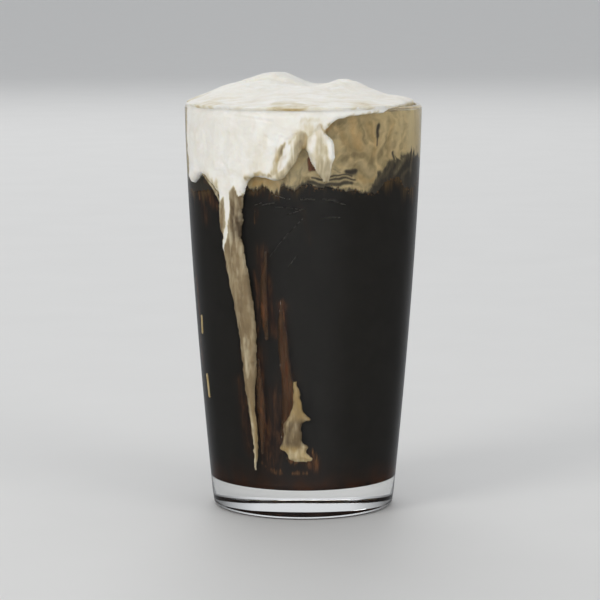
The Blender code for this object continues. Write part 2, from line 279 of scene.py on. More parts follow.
def make_glass():
    """The glass as one turned skin, from its floor over the rim to the punt."""
    rim_z = HEIGHT - RIM_ROUND
    profile = [(r, FLOOR) for r in np.linspace(4, CORNER_R, 7)[:-1]]
    profile += arc(CORNER_R, CORNER_Z, FLOOR_CORNER, -90, 0, 10)
    profile += [(inner_radius(z), z) for z in np.linspace(CORNER_Z, rim_z, 50)[1:-1]]
    profile += arc(RIM_RADIUS - RIM_ROUND, rim_z, RIM_ROUND, 180, 0, 16)
    profile += [(outer_radius(z), z) for z in np.linspace(rim_z, HEEL, 50)[1:-1]]
    profile += arc(FOOT_RADIUS - HEEL, HEEL, HEEL, 0, -90, 10)
    profile += [(STANDING_RING, 0), (STANDING_RING - 0.7, 0.08), (STANDING_RING - 2, 0.5)]
    profile += [(r, PUNT * (1 - 0.7 * (r / STANDING_RING) ** 2)) for r in (20, 15, 10, 5)]
    angles = np.arange(GLASS_STEPS) * 360.0 / GLASS_STEPS
    points, faces = closed_skin([place(angles, r, z) for r, z in profile], FLOOR, PUNT)
    return new_object("glass_body", points, faces)


# Drink

def level_height(angle, share):
    """Height of the line between drink and head, flat in the middle and ragged at the wall."""
    near = smoothstep(0.75, 0.97, share)
    return LEVEL + (HEIGHT - head_edge(angle) - LEVEL) * near


def strokes_at(angle, z, strokes):
    """Strength of soft-edged marks at places on the wall."""
    wall_u = np.radians(angle) * MEAN_RADIUS
    total = np.zeros_like(wall_u)
    for a0, z0, a1, z1, half, amount in strokes:
        start = (math.radians(a0) * MEAN_RADIUS, z0)
        end = (math.radians(a1) * MEAN_RADIUS, z1)
        total = np.maximum(total, amount * np.exp(-((distance_to(wall_u, z, start, end) / half) ** 2)))
    return total


def distance_to(u, z, start, end):
    """Distance of places on the unrolled wall from a straight line between two of them."""
    start = np.array(start)
    along = np.array(end) - start
    square = max(along @ along, 1e-6)
    share = unit(((u - start[0]) * along[0] + (z - start[1]) * along[1]) / square)
    return np.hypot(u - start[0] - share * along[0], z - start[1] - share * along[1])


# Marks in the drink: painted light, brown where light gets through it, and painted amber highlights
# Painted light: brown streaks where light gets through the drink
LIGHT_THROUGH = [
    (-11.5, 78, -10.5, 60, 1.5, 0.55), (-10, 66, -8.5, 42, 1.9, 0.9), (-9, 50, -12, 27, 3.2, 0.6),
    (-21, 97, -21, 76, 1.6, 0.6), (-19, 88, -16.5, 68, 1.5, 0.5), (-26.2, 90, -24.6, 66, 0.7, 0.5),
    (-43, 96, -40.5, 85, 0.9, 0.7), (-25, 113, -24.4, 106, 0.6, 0.4), (-34, 62, -31, 30, 2.2, 0.6),
    (-24.5, 62, -23, 28, 2, 0.5), (-26, 44, -21, 22, 4, 0.55), (-39, 50, -34, 24, 2, 0.45),
    (-17, 46, -15, 24, 3, 0.4), (-5, 24, 8, 20.5, 2.4, 0.75), (-58, 118, -49, 112, 2, 0.6),
    (-64, 117, -60, 108, 2.4, 0.45), (-25.4, 120, -25.8, 117.4, 0.4, 1),
    (-22.6, 120, -22.9, 116.4, 0.45, 1), (-20, 120, -19.6, 117, 0.4, 0.9),
    (-17.4, 120, -17.6, 117.6, 0.35, 0.8), (-12, 120, -12.4, 116.8, 0.5, 0.7),
    (-6.6, 120, -6.4, 117.4, 0.4, 0.5), (3.2, 121, 3.2, 118.4, 0.4, 0.5), (-78, 84, -77, 72, 1.5, 0.7),
    (-79, 62, -77, 54, 1.4, 0.55), (0, 112, 3, 100, 0.9, 0.12),
]
# Painted highlights: amber glints in the drink
AMBER_HIGHLIGHTS = [
    (-6.4, 50, -5.2, 38.5, 0.5, 0.9), (-8.4, 47, -7.4, 38, 0.5, 0.5), (-21.8, 78, -22.4, 69.5, 0.6, 0.8),
    (-24.4, 76, -24.8, 68, 0.4, 0.4), (-24.8, 40.5, -22, 32, 0.7, 0.65), (-31.8, 41, -29.8, 27, 0.6, 0.5),
    (-11.2, 76, -11, 72.5, 0.4, 0.7), (-21, 17.6, -14, 17, 0.8, 0.5), (-6, 17.3, 2.4, 17.1, 0.8, 0.6),
    (-9.4, 22.6, -4, 21.4, 0.8, 0.7), (5.2, 25.4, 7, 21.6, 0.5, 0.7), (7.4, 25.4, 8.6, 21.6, 0.45, 0.8),
    (-27, 20, -19, 18.4, 0.8, 0.4), (3, 20.6, 12, 21, 0.7, 0.4), (-12.8, 62, -11.2, 48, 0.4, 0.4),
    (-66, 121, -64.5, 114, 0.5, 0.5), (-26, 113, -25.4, 107, 0.4, 0.45),
]


# Steps round the wall, and rows up it in the drink and in the head
WALL_STEPS = 720
STOUT_ROWS = 96
HEAD_ROWS = 84

# The drink lies a little under the head in the middle and reaches up behind its edge at the wall
UNDER_HEAD = 0.02
BEHIND_HEAD = 0.15

# The head reaches a little farther into the wall than the drink does, and ends just below the rim
HEAD_GRIP = GRIP + 0.03
HEAD_TOP = HEIGHT - 1.4

# Points of the head farther out than this lie against the wall
AT_WALL = 38.0


def make_stout():
    """The drink, filling the glass from its floor to the head."""
    angles = around(WALL_STEPS)
    rings = []
    for share in (0.1, 0.3, 0.5, 0.7, 0.8, 0.88, 0.94, 0.98):
        rings.append(place(angles, inner_radius(LEVEL) * share, level_height(angles, share) - UNDER_HEAD))
    top = level_height(angles, 1) + BEHIND_HEAD
    for rise in np.linspace(1, 0, STOUT_ROWS):
        z = CORNER_Z + (top - CORNER_Z) * rise
        rings.append(place(angles, inner_radius(z) + GRIP, z))
    for r, z in arc(CORNER_R, CORNER_Z, FLOOR_CORNER + GRIP, 0, -90, 10)[1:]:
        rings.append(place(angles, r, z))
    for share in (0.8, 0.6, 0.4, 0.2, 0.05):
        rings.append(place(angles, CORNER_R * share, FLOOR - GRIP))
    points, faces = closed_skin(rings, LEVEL - UNDER_HEAD, FLOOR - GRIP)
    angle = np.concatenate([[0], *[angles] * len(rings), [0]])
    return new_object("stout_body", points, faces, stout_paint(angle, points[:, 2]))


def stout_paint(angle, z):
    """Painted light where light gets through, in brown and in amber highlights, a veil under the head and a
    painted glow over the foot.
    """
    warp = wall_lumps(angle, z, 5, 16, 3)
    warp_z = wall_lumps(angle, z, 4, 9, 4)
    haze = strokes_at(angle + 2.2 * warp, z + 2.5 * warp_z, LIGHT_THROUGH)
    haze *= 0.75 + 0.5 * wall_lumps(angle, z, 1.6, 14, 6)
    amber = strokes_at(angle + 1.2 * warp, z + 1.2 * warp_z, AMBER_HIGHLIGHTS)
    amber *= 0.85 + 0.8 * wall_lumps(angle, z, 1.1, 12, 7)
    under = HEIGHT - head_edge(angle) - z
    smoky = smoothstep(38, 60, angle) * smoothstep(110, 88, angle)
    ragged = 1.2 + 3.5 * unit(wall_lumps(angle, 0 * z, 3.2, 40, 8) + 0.1) + 3.0 * smoky
    veil = np.exp(-(np.maximum(under, 0) / ragged) ** 2) * (0.35 + 0.65 * smoothstep(-0.4, 0.5, warp))
    veil *= 1 - 0.75 * smoothstep(-8, 4, angle) * smoothstep(46, 36, angle)
    # Painted glow: brown light in the drink over the foot
    glow = np.exp(-np.maximum(z - FLOOR, 0) / 4.5) * (0.8 + 0.4 * wall_lumps(angle, z, 9, 9, 10))
    return {"haze": haze, "veil": veil, "glow": glow, "amber": amber}


# Head inside the glass

def make_head_inside():
    """The part of the head that is seen through the wall, pressed flat against it."""
    angles = around(WALL_STEPS)
    low = level_height(angles, 1)
    rings = []
    for share in (0.3, 0.6, 0.8, 0.9, 0.96):
        rings.append(place(angles, inner_radius(LEVEL) * share, level_height(angles, share)))
    for rise in np.linspace(0, 1, HEAD_ROWS):
        z = low + (HEAD_TOP - low) * rise
        rings.append(place(angles, inner_radius(z) + HEAD_GRIP, z))
    for share in (0.9, 0.6):
        rings.append(place(angles, inner_radius(HEAD_TOP) * share, HEAD_TOP - 0.2))
    points, faces = closed_skin(rings, LEVEL, HEAD_TOP - 0.2, rising=True)
    at_wall = np.hypot(points[:, 0], points[:, 1]) > AT_WALL
    return new_object("head_inside", points, faces, inside_paint(angles_of(points), points[:, 2], at_wall))


def inside_paint(angle, z, at_wall):
    """Swirls, smoke, voids and patches of colour in the head, and its thin lower edge."""
    warp_a = wall_lumps(angle, z, 11, 11, 12)
    warp_z = wall_lumps(angle, z, 9, 9, 13)
    swirl = wall_lumps(angle + 16 * warp_a, z + 9 * warp_z, 7, 9, 14)
    streak = wall_lumps(angle + 5 * warp_a, z, 1.9, 26, 15)
    dark = 0.45 + 0.4 * swirl + 0.2 * streak
    far, near = angle + 3 * warp_a, z + 2 * warp_z
    smoke = smoothstep(1.6, -1.8, near - smoke_top(far) + 1.8 * streak)
    smoke = smoke * (1 - 0.75 * strokes_at(angle + 2 * warp_a, z + warp_z, WISPS))
    smoke = np.maximum(smoke, strokes_at(angle + 1.5 * warp_a, z + warp_z, VOIDS))
    above = z - (HEIGHT - head_edge(angle))
    thin = np.exp(-((np.maximum(above, 0) / (0.5 + 1.1 * unit(streak + 0.2))) ** 2))
    smoke = np.maximum(smoke, 0.75 * thin * at_wall)
    light = strokes_at(far, near, PALE)
    dark = dark + strokes_at(far, near, SHADES) - 0.3 * light
    gold = strokes_at(far, near, GOLD) * (0.8 + 0.5 * streak)
    rust = smoothstep(0.25, 0.65, strokes_at(angle + 0.5 * warp_a, z + 0.5 * warp_z, RUST))
    paint = {"dark": dark, "smoky": smoke, "gold": gold, "pale": light, "rust": rust}
    return {key: unit(values) for key, values in paint.items()}


# Height that smoke rises to in the head, by degrees
SMOKE_TOP = [
    (-180, 121), (-82, 121.5), (-66, 124), (-48, 124), (-40, 120), (-30, 117), (30, 117), (36, 121.5),
    (43, 126), (49, 128.6), (60, 129.4), (68, 130.5), (85, 127), (110, 122), (180, 121),
]
smoke_top = smooth_through(SMOKE_TOP)

# Marks in the head behind the glass
VOIDS = [
    (38.4, 141, 38, 137, 0.6, 1), (38, 137, 37.4, 134, 0.35, 0.8), (21.5, 125, 26.5, 124.9, 0.9, 1.1),
    (14, 126.6, 18, 125, 0.4, 0.35), (-4, 121, -9, 119.8, 0.4, 0.4), (8, 124, 24, 123.8, 0.4, 0.8),
    (4, 122.9, 26, 122.5, 0.4, 0.85), (2, 121.2, 24, 120.9, 0.75, 0.85), (50.5, 131.5, 51.5, 128.5, 0.6, 0.8),
    (0.5, 120.2, -1.5, 119.6, 0.35, 0.4),
]
SHADES = [
    (13, 141.8, 20, 142.6, 1.3, 0.5), (14.5, 137.2, 20, 136.6, 1.6, 0.55), (22, 133.5, 33, 129.5, 3, 0.6),
    (25, 133, 22, 129, 1, 0.5), (29, 142, 30, 133, 0.9, 0.4), (33.5, 143, 34, 137, 0.7, 0.3),
    (43, 142, 44, 134, 0.9, 0.35), (27, 127, 33, 121, 2.2, 0.45), (40, 138, 47, 133, 3, 0.2),
    (-8, 125, -10.5, 120.5, 0.35, 0.6), (-5.8, 125, -8, 120, 0.35, 0.6), (-3.2, 125, -5.2, 119.8, 0.35, 0.6),
    (-1, 127, -3, 121, 0.3, 0.5), (0.8, 130, 0.2, 125.4, 0.3, 0.5), (12, 127, 16, 123, 0.4, 0.4),
    (5, 122.4, 25, 122.2, 2, 0.4), (17, 129, 14, 126, 0.9, 0.4), (19.5, 140, 16.5, 139, 1.2, 0.5),
    (31, 142, 33, 135, 1, 0.3), (33, 128, 41, 131.5, 1.4, 0.4), (-11, 127, -7, 122, 0.6, 0.4),
    (-5, 127.5, -3, 122.5, 0.5, 0.35),
]
GOLD = [
    (9.5, 140.8, 14, 142.2, 0.9, 0.9), (17, 140, 22, 134, 1.6, 0.35), (25, 142.4, 27, 134, 1.6, 0.5),
    (-26, 121.4, -17, 121.8, 1.7, 1), (-22, 119.6, -19, 119.4, 0.9, 0.9), (-14, 121, -10, 120, 1.2, 0.6),
    (33, 142, 36, 132, 1.6, 0.35), (46, 141, 48, 131, 1.6, 0.3), (27, 122.6, 34, 121.8, 0.9, 0.5),
]
# Paler streaks in the head; those from 64 to 79 degrees are painted light on the right side, which the lamps
# leave darker
PALE = [
    (64, 143.8, 66, 131.5, 3, 1), (55, 143.8, 54, 132.5, 1.6, 0.6), (76, 143, 79, 129, 3, 0.8),
    (40.5, 143.5, 42, 135, 1.4, 0.4), (50, 142, 49, 131, 1.2, 0.4), (15, 134.5, 11.5, 124, 2.6, 0.85),
    (22, 127.5, 12.5, 122, 0.9, 0.7), (2, 124, 12, 122.9, 0.6, 0.9), (-2, 127, -6.5, 121.5, 1.9, 0.75),
    (-8, 128, -13, 122, 1.4, 0.5), (2, 124.5, 7.5, 124.9, 0.5, 1), (0.4, 133, 1.6, 129, 0.9, 0.8),
    (1.4, 129, -0.5, 124.5, 1.2, 0.8), (0, 120.3, 27, 119.7, 0.35, 0.5), (6, 123.4, 25, 123.1, 0.3, 0.7),
    (3, 122, 26, 121.6, 0.3, 0.7), (68, 143.8, 71, 130.5, 2.2, 0.8), (54, 127.4, 50, 124.5, 0.8, 0.35),
    (59, 127.5, 55, 124, 0.7, 0.3), (28, 128, 33, 124.5, 1.2, 0.35), (-56, 122.5, -47, 118.5, 0.6, 0.4),
]
WISPS = [
    (59, 128.5, 52, 124, 1.3, 0.6), (49, 127, 44, 122.5, 1.1, 0.35), (69, 129, 66, 124.5, 1, 0.4),
    (43, 124, 38, 120.5, 1.2, 0.4), (-58, 123, -46, 117.5, 0.8, 0.45), (64, 125, 59, 122.5, 0.8, 0.3),
]
RUST = [
    (2.9, 129.8, 3.3, 126.4, 0.9, 1.1), (3.1, 126.5, 6.4, 126.3, 0.8, 1.1),
    (-59, 120.5, -50, 119.8, 1.6, 0.36),
]


# Head above the rim

def fold(x, y, start, end, bow, depth, width):
    """A soft crease along a bowed line from start to end, with the far side standing higher."""
    sx, sy = start
    ex, ey = end
    length = math.hypot(ex - sx, ey - sy)
    tx, ty = (ex - sx) / length, (ey - sy) / length
    along = (x - sx) * tx + (y - sy) * ty
    across = (y - sy) * tx - (x - sx) * ty
    share = along / length
    across = across - bow * 4 * share * (1 - share)
    ends = smoothstep(-0.1, 0.2, share) * (1 - smoothstep(0.8, 1.1, share))
    step = 0.5 * np.tanh(across / width)
    groove = -0.8 * np.exp(-((across / (0.7 * width)) ** 2))
    return depth * ends * (step * np.exp(-((across / (9 * width)) ** 2)) + groove)


# Creases in the dome, each a start, an end, a bow, a depth and a width
FOLDS = [
    ((-25, 2), (8, 6), -3, 1, 1), ((4, 8), (26, 9), 3.5, 0.45, 1.2),
    ((-34, -12), (-6, -16), -4, 0.35, 1.4), ((6, -18), (33, -10), -3, 0.4, 1.3),
    ((-24, 22), (6, 28), 4, 0.45, 1.3), ((10, 26), (30, 14), 3, 0.4, 1.2),
    ((-38, 4), (-30, 20), 2.5, 0.4, 1.2),
]


# Steps round the cap, rows over its dome and round its lip, and the foot of its skirt inside the glass
CAP_STEPS = 540
CAP_ROWS = 91
LIP_ROWS = 8
CAP_FOOT = HEIGHT - 2.6

# On the right the foam pulls back from the rim by so much and stands higher there by so much
PULLED_BACK = 1.1
STANDS_HIGHER = 1.8

# The apron hangs from the cap between these angles, so the cap's own lip stays short there
APRON_SPAN = (-76, 56)

# Past this angle there is no apron at all
APRON_END = 60


def make_cap():
    """The dome of foam and the lip it rests on the rim with."""
    angles = around(CAP_STEPS)
    pulled = smoothstep(60, 72, angles) * smoothstep(112, 98, angles)
    edge = INNER_RIM + lip_reach(angles) - 0.12 - PULLED_BACK * pulled
    proud = unit((edge - RIM_RADIUS) / 0.8)
    inside = unit((INNER_RIM + 0.3 - edge) / 0.8)
    under_apron = (angles > APRON_SPAN[0]) & (angles < APRON_SPAN[1])
    hang = np.where(under_apron, 0.35, np.maximum(apron_drop(angles), 0.3))
    bottom = HEIGHT - hang * proud - 0.25 * (1 - proud) - 1.3 * inside
    rings = []
    for share in 1 - (1 - np.linspace(0, 1, CAP_ROWS + 1)[1:]) ** 1.35:
        even = INNER_RIM + (edge - INNER_RIM) * share * share
        ring = place(angles, even * share, HEIGHT + LIP_HEIGHT)
        high = dome_surface(ring[:, 0], ring[:, 1]) + STANDS_HIGHER * pulled * smoothstep(0.7, 0.98, share)
        ring[:, 2] += high * (1 - share ** SHOULDER[0]) ** SHOULDER[1]
        ring[:, 2] -= np.logaddexp(0, 5 * (ring[:, 2] - TOP)) / 5
        rings.append(ring)
    lip_top = rings[-1][:, 2]
    for turn in np.radians(np.linspace(0, 90, LIP_ROWS + 1)[1:]):
        height = bottom + (lip_top - bottom) * (1 - np.sin(turn))
        rings.append(place(angles, edge - 0.9 * (1 - np.cos(turn)), height))
    under = np.minimum(edge - 2.0, INNER_RIM - 1.2)
    rings.append(place(angles, under, np.minimum(bottom - 0.1, HEIGHT - 1.2)))
    rings.append(place(angles, under - 1, CAP_FOOT))
    for index, ring in enumerate(rings[:CAP_ROWS + 6]):
        wobble = 0.12 * lumps(ring, 2.6, 23, 2) * min(1, index / 60)
        outwards = ring[:, :2] / np.maximum(np.hypot(ring[:, 0], ring[:, 1]), 1e-6)[:, None]
        ring[:, :2] += outwards * wobble[:, None]
    points, faces = closed_skin(rings, rings[0][:, 2].mean(), CAP_FOOT)
    return new_object("head_cap", points, faces, cap_paint(points))


def dome_surface(x, y):
    """Height of the foam above its lip, with creases and lumps, away from its rounded edge."""
    high = np.zeros_like(x)
    for right, back, rise, wide in SWELLS:
        high = high + rise * np.exp(-((x - right) ** 2 + (y - back) ** 2) / (2 * wide * wide))
    for line in FOLDS:
        high = high + fold(x, y, *line)
    flow = np.stack([x, y, np.zeros_like(x)], axis=1)
    return high + 0.35 * lumps(flow, 9, 21, 3) + 0.16 * lumps(flow, (3.4, 1.6, 2), 22, 2)


def cap_paint(points):
    """Tan near the edge, with painted shade as a little tan over the top and more on the right of the lip, a
    painted gold glint along the rim in front and painted grey shade on the lobe at the back.
    """
    x, y, z = points.T
    angle = angles_of(points)
    radius = np.hypot(x, y)
    patches = smoothstep(0.1, 0.6, lumps(points, (16, 9, 9), 25)) * smoothstep(30, 42, radius)
    streaks = smoothstep(0.0, 0.5, lumps(points, (14, 4, 2), 26)) * smoothstep(HEIGHT + 8, HEIGHT + 3, z)
    right = smoothstep(42, 56, angle) * (1 - smoothstep(90, 110, angle))
    # A little tan all over is painted shade on the top, which faces the light; the tan on the right of the
    # lip is painted shade; patches and streaks are the foam's own tone
    tan = 0.05 + 0.25 * patches + 0.1 * streaks + 0.5 * right * smoothstep(HEIGHT + 1, HEIGHT - 0.5, z)
    # Painted glint: gold along the rim in front, and a small one at -56 degrees
    rim_glint = np.exp(-(((angle + 4.5) / 5.5) ** 4)) + 0.6 * np.exp(-(((angle + 56) / 1.6) ** 2))
    rim_glint = rim_glint * smoothstep(HEIGHT + 0.75, HEIGHT + 0.35, z) * (radius > 42)
    # Painted shade: grey on the face of the lobe at the back, which turns away from the light
    rear_shade = np.exp(-(((x + 8) / 13) ** 2 + ((y - 14) / 8) ** 2))
    return foam_paint(z, tan=unit(tan), gold=unit(rim_glint), grey=unit(rear_shade))


def foam_paint(z, **amounts):
    """Amounts of each of the foam's colours, none where not given."""
    return {key: amounts.get(key, 0) + 0 * z for key in ("tan", "gold", "grey", "dark")}


# Foam on the outside of the wall

def down_run(stops, z):
    """Middle in degrees, half width and thickness of a run at each height."""
    return [smooth_through([(-stop[0], stop[column]) for stop in stops])(-z) for column in (1, 2, 3)]


def run_field(z, wall_u, stops):
    """Reach inside a run's outline, with its half width and thickness, on the unrolled wall."""
    turn, half, thick = down_run(stops, z)
    side = half - np.abs(wall_u - np.radians(turn) * outer_radius(z))
    ends = np.minimum(stops[0][0] - z + 0.4, z - stops[-1][0] + 0.2)
    return np.minimum(side, ends), np.maximum(half, 0.4), thick


def stroke_fields(z, wall_u, strokes):
    """Reach inside marks that are rounded strokes of foam or film, with their half widths and thicknesses."""
    out = []
    for a0, z0, a1, z1, half, thick in strokes:
        start = (math.radians(a0) * outer_radius(z0), z0)
        end = (math.radians(a1) * outer_radius(z1), z1)
        reach = half - distance_to(wall_u, z, start, end)
        out.append((reach, np.full_like(z, half), np.full_like(z, thick)))
    return out


def blended(parts, blend):
    """Reach, half width and thickness of parts that run softly into one another."""
    reach, half, thick = np.stack(parts, axis=1)
    peak = reach.max(0)
    weight = np.exp(np.clip(blend * (reach - peak), -40, 0))
    total = weight.sum(0)
    return peak + np.log(total) / blend, (weight * half).sum(0) / total, (weight * thick).sum(0) / total


def double_skin(keep):
    """Points of a grid in use, and faces of an outer and an inner sheet over them, joined at the edge."""
    cells = keep[:-1, :-1] & keep[1:, :-1] & keep[:-1, 1:] & keep[1:, 1:]
    rows, columns = keep.shape
    used = np.zeros(keep.shape, bool)
    for up in (0, 1):
        for right in (0, 1):
            used[up:rows - 1 + up, right:columns - 1 + right] |= cells
    count = int(used.sum())
    index = np.full(keep.shape, -1)
    index[used] = np.arange(count)
    corners = [index[:-1, :-1][cells], index[:-1, 1:][cells], index[1:, 1:][cells], index[1:, :-1][cells]]
    quads = np.stack(corners, axis=1)
    edges = np.concatenate([quads[:, [k, (k + 1) % 4]] for k in range(4)])
    ends = np.sort(edges, axis=1)
    _, first, times = np.unique(ends[:, 0] * count + ends[:, 1], return_index=True, return_counts=True)
    start, end = edges[first[times == 1]].T
    edge = np.stack([end, start, start + count, end + count], axis=1)
    return used, quads.tolist() + (quads[:, ::-1] + count).tolist() + edge.tolist()


def parts_of(runs=(), strokes=()):
    """What a piece on the wall is made of: runs, and marks that are rounded strokes."""
    return lambda angle, z, wall_u: [
        *[run_field(z, wall_u, run) for run in runs], *stroke_fields(z, wall_u, strokes)
    ]


def wall_foam(
    name, span, z_span, parts_at, step, blend, ragged, seed, base=GRIP, relief_at=None, paint_at=None
):
    """A closed skin on the outside of the glass, rounded to nothing at its outline.

    It is cut from a grid of a step, between two angles and two heights. Its parts run into one another
    the more softly the lower blend is. Its inner sheet is base inside the wall.
    """
    step_a = math.degrees(step / MEAN_RADIUS)
    a_axis = np.arange(span[0], span[1] + step_a, step_a)
    z_axis = np.arange(z_span[0], z_span[1] + step, step)
    angle, z = np.meshgrid(a_axis, z_axis)
    radius = outer_radius(z)
    jitter_u = wall_lumps(angle, z, 2.8, 2.8, seed, 2) * ragged
    jitter_z = wall_lumps(angle, z, 3.6, 3.6, seed + 1, 2) * ragged
    wall_u = np.radians(angle) * radius + jitter_u
    parts = parts_at(angle + np.degrees(jitter_u / radius), z + jitter_z, wall_u)
    field, half, thick = blended(parts, blend)

    # The grid's outermost points move onto the outline, where the skin has no depth
    slope_z, slope_a = np.gradient(field, z_axis, np.radians(a_axis))
    slope_u = slope_a / radius
    steep = np.clip(np.hypot(slope_z, slope_u), 0.6, 6)
    depth = field / steep
    keep = depth > -0.5 * step
    near = keep & (depth < 0.45 * step)
    angle = angle + np.degrees(np.where(near, -depth * slope_u / steep, 0) / radius)
    z = z + np.where(near, -depth * slope_z / steep, 0)
    depth = np.where(near, 0, depth)
    radius = outer_radius(z)

    # Round at the edge, with lumps, ridges and grain, and flattened where it would stand past the front
    rounding = np.clip(0.95 * half, 0.5, 2.4)
    share = unit(depth / rounding)
    out = thick * np.sqrt(1 - (1 - share) ** 2)
    soft = wall_lumps(angle, z, 7, 10, seed + 2)
    ridges = wall_lumps(angle, z, 1.5, 17, seed + 3, 2)
    grain = wall_lumps(angle, z, 1.3, 1.3, seed + 4, 2)
    out = out * (1 + 0.17 * soft + 0.045 * ridges + 0.035 * grain)
    if relief_at:
        out = np.maximum(out + relief_at(angle, z) * share * np.minimum(thick, 1), 0)
    room = FRONT / np.cos(np.radians(np.clip(angle, -60, 60))) - radius
    out = out - np.logaddexp(0, 8 * (out - room)) / 8

    used, faces = double_skin(keep)
    outside = place(angle[used], (radius + out)[used], z[used])
    inside = place(angle[used], (radius - base)[used], z[used])
    paint = paint_at(angle[used], z[used], depth[used]) if paint_at else {}
    paint = {key: np.tile(values, 2) for key, values in paint.items()}
    return new_object(name, np.concatenate([outside, inside]), faces, paint)


# Marks that are bites out of the run, and threads beside it
NOTCHES = [(-46.4, 105.6, -44.2, 101.6, 1, 0), (-30, 111.5, -30.2, 109, 0.6, 0)]
THREADS = [(-57, 123.2, -44, 116.2, 0.45, 0.5), (-53.5, 122.6, -43, 112.5, 0.35, 0.4)]


def apron_parts(angle, z, wall_u):
    """The apron over the rim, the run that it feeds and the curl at its right end."""
    drop = apron_drop(angle)
    drop = drop - 2.0 * smoothstep(1.2, 0.1, drop)
    drop = np.where((angle < APRON_SPAN[0]) | (angle > APRON_END), -3, drop)
    edge = INNER_RIM + lip_reach(angle)
    proud = np.clip(edge - RIM_RADIUS, 0.2, 3)
    share = unit((HEIGHT + LIP_HEIGHT - z) / (np.maximum(drop, 1) + LIP_HEIGHT))
    apron = (z - (HEIGHT - drop), np.full_like(z, 2.3), proud * (0.85 + 0.35 * share))
    reach, half, thick = run_field(z, wall_u, DRIP)
    for bite, _, _ in stroke_fields(z, wall_u, NOTCHES):
        reach = np.minimum(reach, -bite)
    return [apron, (reach, half, thick), run_field(z, wall_u, CURL)]


def thread_paint(angle, z, depth):
    """Tan, a little darkened."""
    return foam_paint(z, tan=0.75 + 0.4 * wall_lumps(angle, z, 1, 3, 73), dark=0.1)


# Marks in the relief of the apron and the run
GROOVES = [
    (-37, 145.1, -25, 144.2, 0.45, 0.3), (-25, 144.2, -14, 143.1, 0.4, 0.25),
    (-17, 137.7, -14, 136.3, 0.45, 0.3), (-39, 128, -36.5, 125.8, 0.5, 0.3),
    (-36.5, 125.8, -36, 123.5, 0.45, 0.25), (-66, 140, -67, 127, 0.6, 0.3),
    (-52, 141, -49, 131, 0.7, 0.15), (-28, 140, -30, 129, 0.8, 0.14), (-20, 134, -22, 127, 0.7, 0.15),
    (1.2, 131, 2.4, 135.5, 0.7, 0.7), (2.4, 135.5, 4.6, 139.2, 0.6, 0.6), (4.6, 139.2, 8, 140.8, 0.6, 0.5),
    (8, 140.8, 12.5, 139.8, 0.6, 0.5), (-7, 137, -11, 129.5, 0.6, 0.5), (-1.5, 136, -5.5, 128, 0.6, 0.45),
    (-4.5, 138.5, -8.5, 133, 0.5, 0.4), (-4, 130, -9.5, 124.5, 0.6, 0.45),
    (-10, 137.5, -13.5, 131.5, 0.5, 0.35), (13, 142.6, 30, 145, 0.4, 0.25), (7, 133, 10.5, 127, 0.5, 0.3),
    (9, 131, 11, 125, 0.4, 0.25),
]
RIDGES = [
    (12.4, 135.8, 12.2, 130.8, 1, 0.5), (5.4, 137.2, 4, 132, 0.9, 0.35), (-2.8, 137, -7, 129.5, 0.7, 0.35),
    (-9, 136, -12.5, 129, 0.7, 0.3), (-33, 136, -36, 127, 2.2, 0.35), (-45, 138, -44, 128, 2.4, 0.3),
    (-58, 137, -59, 129, 2.6, 0.35), (-22, 141, -21, 134, 2, 0.25), (-42.5, 116, -42.6, 104, 0.8, 0.4),
    (-36, 100, -34.4, 88, 0.6, 0.35), (-33.2, 86, -30.6, 62, 0.5, 0.35), (-63, 133, -60, 126, 1.4, 0.2),
]


def apron_relief(angle, z):
    """Creases and ridges left by the foam as it slid, and the pinch where it folds over the rim."""
    down = HEIGHT + LIP_HEIGHT - z
    pinch = np.exp(-(((down - 1.7) / 0.9) ** 2)) * (0.15 + 0.85 * smoothstep(-68, -52, angle))
    return strokes_at(angle, z, RIDGES) - strokes_at(angle, z, GROOVES) - 0.9 * pinch


# Marks of colour on the apron and the run
APRON_TAN = [
    (-8.4, 135, -11, 129.6, 0.8, 0.9), (-10.5, 130, -12, 126, 1.5, 0.6), (-4, 138.5, -8, 132, 0.7, 0.5),
    (-0.6, 138, -4.5, 127, 2.3, 0.75), (1.6, 138.5, 0, 132.5, 1.4, 0.8), (-6, 127, -10, 124, 2.2, 0.75),
    (-14, 124.5, -26, 123.8, 0.8, 0.6), (-50, 124, -44, 119, 1.2, 0.5), (-46, 118.5, -42.6, 113, 0.8, 0.5),
    (8, 129.5, 12, 122, 2.6, 0.75), (8, 141, 13, 140.2, 0.7, 0.6), (12, 142.4, 36, 145.6, 0.8, 0.5),
    (14.2, 138, 15, 133, 0.8, 0.7), (0, 144, 6, 143.2, 0.9, 0.25), (6, 137, 9.5, 124, 4.2, 0.42),
    (4, 139, 1.5, 141.5, 1.6, 0.35), (-2, 133.5, -5.5, 127, 1.2, 0.6), (9.4, 136, 9.8, 130.5, 0.5, 0.4),
    (-19, 136, -21, 128, 3.2, 0.12),
]
APRON_GOLD = [
    (-11.5, 133.5, -12.5, 129.5, 0.8, 0.7), (1, 138, 0, 134, 0.8, 0.7), (6, 140.8, 13, 140.4, 0.5, 0.7),
    (-22, 123.4, -25, 123.2, 0.5, 0.8), (-9, 131, -10.5, 127, 0.6, 0.5),
]
# White on the apron; the first mark, on the curl, is a painted highlight
APRON_WHITE_AND_HIGHLIGHT = [
    (12.4, 135.8, 12.6, 131.4, 1, 1), (4.4, 137.4, 3.4, 133, 0.8, 0.3), (-7, 134.5, -10.5, 127, 0.9, 0.7),
]
# White tongue on the left of the run, partly painted light on its lit side
DRIP_LIT_WHITE = [
    (-38.2, 120, -38, 111, 1.5, 1.2), (-38, 111, -39.2, 103.6, 1.1, 1.2), (-39.6, 103, -41.8, 96.8, 1, 1.1),
    (-30.6, 120.6, -30.4, 117.6, 0.7, 1),
]
